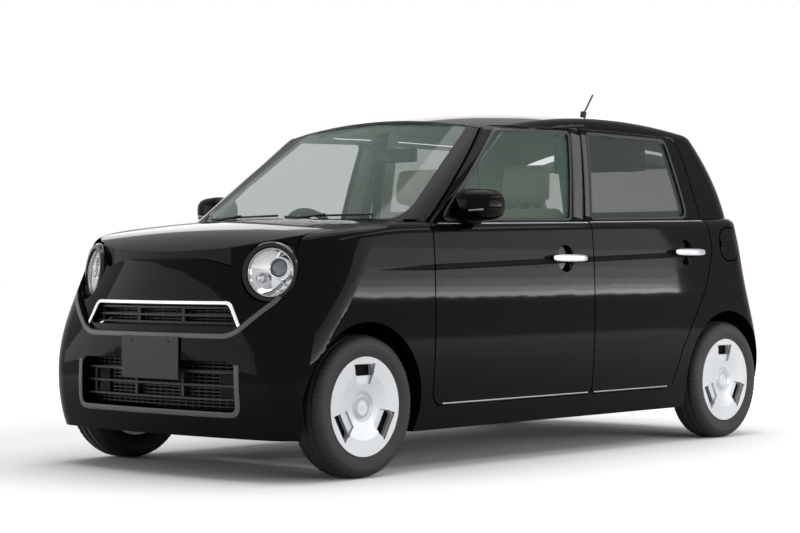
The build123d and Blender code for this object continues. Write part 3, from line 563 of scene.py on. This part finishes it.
def slats(name, half, low, high, reach, bow, rows, ribs):
    points, faces = [], []
    parts = slat["parts"]
    stations = [half * (2 * k / parts - 1) for k in range(parts + 1)]

    def addBar(a, b, thick, deep):
        start = len(points)
        crosswise = abs((b - a).y) > 1e-6
        for end in (a, b):
            for dx, dt in ((0, -thick), (0, thick), (-deep, thick), (-deep, -thick)):
                points.append(end + Vector((dx, 0, dt) if crosswise else (dx, dt, 0)))
        for k in range(4):
            faces.append((start + k, start + (k + 1) % 4, start + 4 + (k + 1) % 4, start + 4 + k))

    def at(y, z):
        return Vector((reach - y * y / 2 / bow, y, z))

    for r in range(rows):
        z = low + (high - low) * (r + 0.5) / rows
        for y0, y1 in zip(stations, stations[1:]):
            addBar(at(y0, z), at(y1, z), slat["rowHalf"], slat["rowDeep"])
    for r in range(ribs):
        y = half * (2 * (r + 0.5) / ribs - 1)
        addBar(at(y, low), at(y, high), slat["ribHalf"], slat["ribDeep"])
    meshPiece(name, points, faces, look["trim"], "car_body", smooth=False)
    # the black sheet behind the slats is painted shade
    back = Vector((slat["sheetBack"], 0, 0))
    sheet = [at(y, z) - back for y in stations for z in (low, high)]
    sheetFaces = [(2 * k, 2 * k + 2, 2 * k + 3, 2 * k + 1) for k in range(parts)]
    meshPiece(name + "_back", sheet, sheetFaces, look["painted_shade"], "car_body")


slats("upper_grille_slats", half=0.405, low=0.580, high=0.668, reach=1.612, bow=1.9, rows=8, ribs=20)
slats("lower_grille_slats", half=0.435, low=0.268, high=0.448, reach=1.628, bow=3.3, rows=13, ribs=24)
plate = {"width": 0.330, "height": 0.165, "thick": 0.0032, "middle": 0.458, "ahead": 0.0015, "edge": 0.0012}
softBox("number_plate", "car_body", (nose + plate["ahead"], 0, plate["middle"]),
        (plate["thick"], plate["width"], plate["height"]), plate["edge"], look["plate"])
plateBolt = {"apart": 0.210, "height": 0.522, "ahead": 0.003, "steps": 16,
             "outline": ((-0.004, 0.007), (0.001, 0.007), (0.0025, 0.005), (0.003, 0.0))}
for side in ("right", "left"):
    spot = (nose + plateBolt["ahead"], sides[side] * plateBolt["apart"] / 2, plateBolt["height"])
    turned(f"plate_bolt_{side}", "car_body", spot, (1, 0, 0), plateBolt["outline"], look["plate"],
           plateBolt["steps"])
print("face trim made")


# Headlamp insides: dish, rim, projector eye and parking bulb
headlamp = {
    "forward": 0.300, "side": 0.511, "height": 0.789, "aim": (0.9, 0.40, 0.12),
    "dishFloor": -0.052, "dishDepth": 0.046, "dishRadius": 0.0935, "dishSteps": 12,
    "eyeAt": (0.026, 0.020), "parkAt": (-0.040, -0.022),
    "rim": ((-0.006, 0.0945), (0.002, 0.0945), (0.003, 0.091), (0.000, 0.0885), (-0.006, 0.088)),
    "eye": ((-0.045, 0.043), (-0.012, 0.043), (-0.008, 0.041), (-0.008, 0.037), (-0.016, 0.034),
            (-0.030, 0.033)),
    "pupil": ((-0.030, 0.034), (-0.020, 0.030), (-0.012, 0.022), (-0.008, 0.012), (-0.007, 0.0)),
    "park": ((-0.050, 0.026), (-0.020, 0.024), (-0.018, 0.021), (-0.030, 0.019), (-0.034, 0.0)),
}
dish = []
for k in range(headlamp["dishSteps"] + 1):
    radius = headlamp["dishRadius"] * k / headlamp["dishSteps"]
    rise = headlamp["dishDepth"] * (radius / headlamp["dishRadius"]) ** 2
    dish.append((headlamp["dishFloor"] + rise, radius))
for side, way in sides.items():
    aim = Vector((headlamp["aim"][0], way * headlamp["aim"][1], headlamp["aim"][2])).normalized()
    place = Vector((frontAxle + headlamp["forward"], way * headlamp["side"], headlamp["height"]))
    outwards = (Vector((0, way, 0)) - aim * (aim.y * way)).normalized()
    up = aim.cross(outwards) * way
    up = up if up.z > 0 else -up
    eye = place + outwards * headlamp["eyeAt"][0] + up * headlamp["eyeAt"][1]
    bulb = place + outwards * headlamp["parkAt"][0] + up * headlamp["parkAt"][1]
    insides = (
        ("dish", place, dish, "chrome", 72),
        ("rim", place, headlamp["rim"], "silver", 72),
        ("eye", eye, headlamp["eye"], "chrome", 48),
        ("pupil", eye, headlamp["pupil"], "projector", 40),
        ("park", bulb, headlamp["park"], "silver", 36),
    )
    for label, spot, outline, material, steps in insides:
        turned(f"lamp_{label}_{side}", "car_body", spot, aim, outline, look[material], steps)
print("lamps made")


# Tail lamps wrap a little way on to the quarter panels
lampWrap = {"ahead": 0.026, "lean": 0.010, "width": 0.050, "margin": 0.010, "lift": 0.0016,
            "taper": (1, 0.65)}
lampLow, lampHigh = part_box("tail_lamps")
wrapX = lampHigh[0] + lampWrap["ahead"]
wrapPath = straight(((wrapX, lampLow[2] + lampWrap["margin"]),
                     (wrapX - lampWrap["lean"], lampHigh[2] - lampWrap["margin"])))
for side in sides:
    ribbon(f"tail_lamp_wrap_{side}", "car_body", surfaceOf("body_shell"), side, wrapPath, lampWrap["width"],
           look["redLens"], lampWrap["lift"], columns=5, taper=lampWrap["taper"])
print("lamp wraps made")


# Mirrors: rounded pod on a foot, lens strip on the front, glass at the back
mirrorPod = {"half": (0.084, 0.094, 0.069), "height": 1.060, "square": 3.0, "sweep": 0.22, "thin": 0.12,
             "ahead": 0.094}
mirrorFoot = {"half": (0.050, 0.034, 0.022), "square": 2.6, "ahead": 0.085, "inset": 0.012, "drop": 0.060}
mirrorLens = {"path": ((0.004, 1.036), (0.066, 1.040)), "width": 0.006}
mirrorGlass = {"path": ((-0.056, 1.060), (0.056, 1.061)), "width": 0.088, "lift": 0.001}
for side, way in sides.items():
    node, body = f"door_mirror_{side}", f"front_door_body_{side}"
    low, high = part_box(node)
    outer = max(abs(low[1]), abs(high[1]))
    spot = Vector((low[0] + mirrorPod["ahead"], way * (outer - mirrorPod["half"][1]), mirrorPod["height"]))
    foot = Vector((low[0] + mirrorFoot["ahead"], way * (halfWidth - mirrorFoot["inset"]),
                   mirrorPod["height"] - mirrorFoot["drop"]))
    forms = [(spot, mirrorPod["half"], mirrorPod["square"]),
             (foot, mirrorFoot["half"], mirrorFoot["square"])]
    pod = lobes(f"mirror_pod_{side}", body, forms, look["paint"], way, mirrorPod["sweep"], mirrorPod["thin"])
    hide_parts(node)
    skin = BVHTree.FromPolygons([v.co for v in pod.data.vertices], [f.vertices for f in pod.data.polygons])
    lensPath = [Vector((spot.y + way * y, z)) for y, z in mirrorLens["path"]]
    ribbon(f"mirror_lens_{side}", body, skin, "front", lensPath, mirrorLens["width"], look["whiteLens"])
    glassPath = [Vector((spot.y + way * y, z)) for y, z in mirrorGlass["path"]]
    ribbon(f"mirror_glass_{side}", body, skin, "rear", glassPath, mirrorGlass["width"], look["mirrorGlass"],
           mirrorGlass["lift"], columns=8)
print("mirrors made")


# Door handles: a rounded chrome bar on two feet
handleBar = {"half": (0.120, 0.0085, 0.0160), "square": 3.4, "footAt": 0.094, "footInset": 0.010,
             "footHalf": (0.017, 0.014, 0.011), "footSquare": 2.6}
for name in [n for n in nodes if "door_handle" in n]:
    way = 1 if name.endswith("left") else -1
    low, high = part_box(name)
    face = max(abs(low[1]), abs(high[1])) - handleBar["half"][1]
    spot = Vector((middle(name).x, way * face, middle(name).z))
    forms = [(spot, handleBar["half"], handleBar["square"])]
    for dx in (-handleBar["footAt"], handleBar["footAt"]):
        foot = spot + Vector((dx, -way * handleBar["footInset"], 0))
        forms.append((foot, handleBar["footHalf"], handleBar["footSquare"]))
    piece = lobes(name.replace("door_handle", "grip"), name.replace("handle", "body"), forms,
                  look["handleChrome"])
    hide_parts(name)
print("handles made")


# Wipers parked on the glass, cowl grille and inside mirror
glass = surfaceOf("windscreen")
wiper = {
    "spans": ((-0.50, -0.03), (0.02, 0.45)), "height": 1.011, "rise": 0.006, "lift": 0.007, "parts": 12,
    "bladeRadius": 0.0045, "armRadius": 0.005, "rootAhead": 0.035, "rootBow": 3.6, "rootHeight": 0.985,
    "kneeLift": (0.008, 0, 0.008), "tipLift": (0.004, 0, 0.005), "pivotDrop": (0, 0, 0.06),
    "pivotAxis": (0.3, 0, 1), "pivot": ((0.0, 0.012), (0.062, 0.012), (0.068, 0.009), (0.070, 0.0)),
}
for number, (y0, y1) in enumerate(wiper["spans"]):
    blade = []
    for k in range(wiper["parts"] + 1):
        y = y0 + (y1 - y0) * k / wiper["parts"]
        hit, normal = meet(glass, "front", y, wiper["height"] + wiper["rise"] * k / wiper["parts"])
        blade.append(hit + normal * wiper["lift"])
    bar(f"wiper_blade_{number}", "car_body", blade, wiper["bladeRadius"], look["trim"])
    root = Vector((cowl + wiper["rootAhead"] - y0 * y0 / wiper["rootBow"], y0, wiper["rootHeight"]))
    knee = root.lerp(blade[3], 0.5) + Vector(wiper["kneeLift"])
    tip = blade[6] + Vector(wiper["tipLift"])
    bar(f"wiper_arm_{number}", "car_body", [root, knee, tip], wiper["armRadius"], look["trim"])
    turned(f"wiper_pivot_{number}", "car_body", root - Vector(wiper["pivotDrop"]), wiper["pivotAxis"],
           wiper["pivot"], look["trim"], 20)
cowlPanel = {"half": 0.560, "height": 0.928, "rear": 0.030, "front": 0.150, "ridges": 9, "ridge": 0.004,
             "fall": 0.010, "bow": 0.28, "bowGain": 0.10, "parts": 40}
points, faces = [], []
count = cowlPanel["ridges"] * 2 + 2
for k in range(cowlPanel["parts"] + 1):
    y = cowlPanel["half"] * (2 * k / cowlPanel["parts"] - 1)
    for r in range(count):
        t = r / (count - 1)
        level = cowl + cowlPanel["rear"] + (cowlPanel["front"] - cowlPanel["rear"]) * t
        x = level - y * y * (cowlPanel["bow"] + cowlPanel["bowGain"] * t)
        rise = cowlPanel["ridge"] if r % 2 else 0.0
        points.append((x, y, cowlPanel["height"] + rise - cowlPanel["fall"] * t))
for k in range(cowlPanel["parts"]):
    for r in range(count - 1):
        a, b = k * count + r, (k + 1) * count + r
        faces.append((a, a + 1, b + 1, b))
meshPiece("cowl_panel", points, faces, look["trim"], "car_body", smooth=False)
insideMirror = {"place": (frontAxle - 0.985, 0, 1.300), "size": (0.030, 0.235, 0.062), "edge": 0.014,
                "stemFoot": (0.01, 0, 0.01), "stemHeight": 1.345, "stemGap": 0.006, "stemRadius": 0.008}
mirrorSpot = Vector(insideMirror["place"])
softBox("inside_mirror", "car_body", mirrorSpot, insideMirror["size"], insideMirror["edge"], look["trim"])
hit, normal = meet(glass, "front", 0.0, insideMirror["stemHeight"])
stem = [mirrorSpot + Vector(insideMirror["stemFoot"]), hit - normal * insideMirror["stemGap"]]
bar("inside_mirror_stem", "car_body", stem, insideMirror["stemRadius"], look["trim"])
print("wipers and inside mirror made")


# Seats as soft goods: a fine remesh is smoothed, then cloth swells it under pressure, up to a cap
seat = {"smoothings": 12, "pressure": 4, "steps": 20, "cap": 0.012}


def softSeat(nodeName, pieceName, material, voxel):
    mesh = nodes[nodeName].data.copy()
    mesh.materials.clear()
    mesh.materials.append(material)
    piece = bpy.data.objects.new(pieceName, mesh)
    bpy.context.collection.objects.link(piece)
    bpy.context.view_layer.objects.active = piece
    piece.select_set(True)
    remesh = piece.modifiers.new("remesh", "REMESH")
    remesh.mode = "VOXEL"
    remesh.voxel_size = voxel
    remesh.use_smooth_shade = True
    bpy.ops.object.modifier_apply(modifier="remesh")
    smooth = piece.modifiers.new("soften", "SMOOTH")
    smooth.iterations = seat["smoothings"]
    smooth.factor = 0.5
    bpy.ops.object.modifier_apply(modifier="soften")
    before = [vertex.co.copy() for vertex in piece.data.vertices]
    cloth = piece.modifiers.new("cloth", "CLOTH")
    cloth.settings.use_pressure = True
    cloth.settings.uniform_pressure_force = seat["pressure"]
    cloth.settings.effector_weights.gravity = 0
    for step in range(1, seat["steps"] + 1):
        bpy.context.scene.frame_set(step)
    swollen = piece.evaluated_get(bpy.context.evaluated_depsgraph_get())
    after = [vertex.co.copy() for vertex in swollen.data.vertices]
    piece.modifiers.remove(cloth)
    for vertex, old, new in zip(piece.data.vertices, before, after):
        move = new - old
        vertex.co = old + (move.normalized() * min(move.length, seat["cap"]) if move.length else move)
    piece.data.polygons.foreach_set("use_smooth", [True] * len(piece.data.polygons))
    bpy.context.scene.frame_set(1)
    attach(piece, "car_body")
    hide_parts(nodeName)
    piece.select_set(False)


softSeat("front_seats", "front_seat_covers", look["beigeCloth"], voxel=0.014)
softSeat("rear_seat", "rear_seat_cover", look["darkCloth"], voxel=0.016)
print("seats made")


# Camera found from the photo: wheelbase, track and tyres fix it
camera = bpy.data.objects.new("camera", bpy.data.cameras.new("camera"))
bpy.context.collection.objects.link(camera)
camera.data.sensor_width = 36
camera.data.lens = 91.84
camera.data.clip_start, camera.data.clip_end = 0.1, 200
camera.location = (6.9844, 6.0048, 0.8143)
lookAlong = Vector((-0.7472, -0.6646, -0.0004))
camera.rotation_mode = "QUATERNION"
camera.rotation_quaternion = lookAlong.to_track_quat("-Z", "Y")
bpy.context.scene.camera = camera


# Studio: pale floor that keeps the shadow, white surroundings, soft lights at a plain level
def seenRays(tree):
    path = tree.nodes.new("ShaderNodeLightPath")
    seen = path.outputs["Is Camera Ray"]
    for label in ("Is Glossy Ray", "Is Transmission Ray"):
        either = tree.nodes.new("ShaderNodeMath")
        either.operation = "MAXIMUM"
        tree.links.new(seen, either.inputs[0])
        tree.links.new(path.outputs[label], either.inputs[1])
        seen = either.outputs["Value"]
    return seen


studio = {"floorColour": 0.93, "glowFrom": 2.0, "glowTo": 5.5, "farGlow": 0.72, "skyLight": 0.30, "reach": 60}
reach = studio["reach"]
floorLook = finish("floor", (studio["floorColour"],) * 3, 0.8, spread=0.004, specular=0.0)
floorCorners = [(-reach, -reach, 0), (reach, -reach, 0), (reach, reach, 0), (-reach, reach, 0)]
floor = meshPiece("floor", floorCorners, [(0, 1, 2, 3)], floorLook, None)
floorTree = floorLook.node_tree
floorShader = floorTree.nodes["Principled BSDF"]
floorShader.inputs["Emission Color"].default_value = (1, 1, 1, 1)
where = floorTree.nodes.new("ShaderNodeNewGeometry")
away = floorTree.nodes.new("ShaderNodeVectorMath")
away.operation = "LENGTH"
floorTree.links.new(where.outputs["Position"], away.inputs[0])
glow = floorTree.nodes.new("ShaderNodeMapRange")
glow.inputs["From Min"].default_value = studio["glowFrom"]
glow.inputs["From Max"].default_value = studio["glowTo"]
glow.inputs["To Max"].default_value = studio["farGlow"]
floorTree.links.new(away.outputs["Value"], glow.inputs["Value"])
seenGlow = floorTree.nodes.new("ShaderNodeMath")
seenGlow.operation = "MULTIPLY"
floorTree.links.new(glow.outputs["Result"], seenGlow.inputs[0])
floorTree.links.new(seenRays(floorTree), seenGlow.inputs[1])
floorTree.links.new(seenGlow.outputs["Value"], floorShader.inputs["Emission Strength"])
world = bpy.data.worlds.new("sky")
bpy.context.scene.world = world
world.use_nodes = True
skyTree = world.node_tree
sky = skyTree.nodes["Background"]
sky.inputs["Color"].default_value = (1, 1, 1, 1)
skyTree.links.new(scaled(skyTree, seenRays(skyTree), studio["skyLight"], 1), sky.inputs["Strength"])


def softLight(name, place, target, size, power):
    data = bpy.data.lights.new(name, "AREA")
    data.shape = "RECTANGLE"
    data.size, data.size_y = size
    data.energy = power
    lamp = bpy.data.objects.new(name, data)
    bpy.context.collection.objects.link(lamp)
    lamp.location = place
    lamp.visible_camera = False
    lamp.rotation_mode = "QUATERNION"
    lamp.rotation_quaternion = (Vector(target) - Vector(place)).to_track_quat("-Z", "Y")


softLight("overhead", place=(-0.2, 0, 6.0), target=(-0.2, 0, 0), size=(7.0, 5.0), power=320)
# A wall of strips beside the car, low edge, high edge and power of each, grades the light on its flank
sideWall = {
    "x": -3.5, "y": 6.2, "length": 11,
    "strips": ((0.72, 0.80, 60), (0.80, 0.90, 44), (0.90, 1.05, 40), (1.05, 1.30, 46),
               (1.30, 1.75, 62), (1.75, 2.40, 58)),
}
for low, high, power in sideWall["strips"]:
    level = (low + high) / 2
    softLight(f"sideStrip{round(low * 100)}", (sideWall["x"], sideWall["y"], level),
              (sideWall["x"], 0, level), (sideWall["length"], high - low), power)
softLight("shoulderStrip", place=(-2.5, 5.5, 5.0), target=(-0.4, 0.6, 0.9), size=(9, 1.0), power=120)
softLight("backGlow", place=(-7.0, -6.0, 3.4), target=(0, 0, 1.0), size=(10, 2.2), power=170)
softLight("frontRight", place=(6.5, -5.5, 1.8), target=(1.4, 0, 0.7), size=(7.0, 2.6), power=110)
bpy.context.scene.view_settings.view_transform = "Standard"
print("studio set")
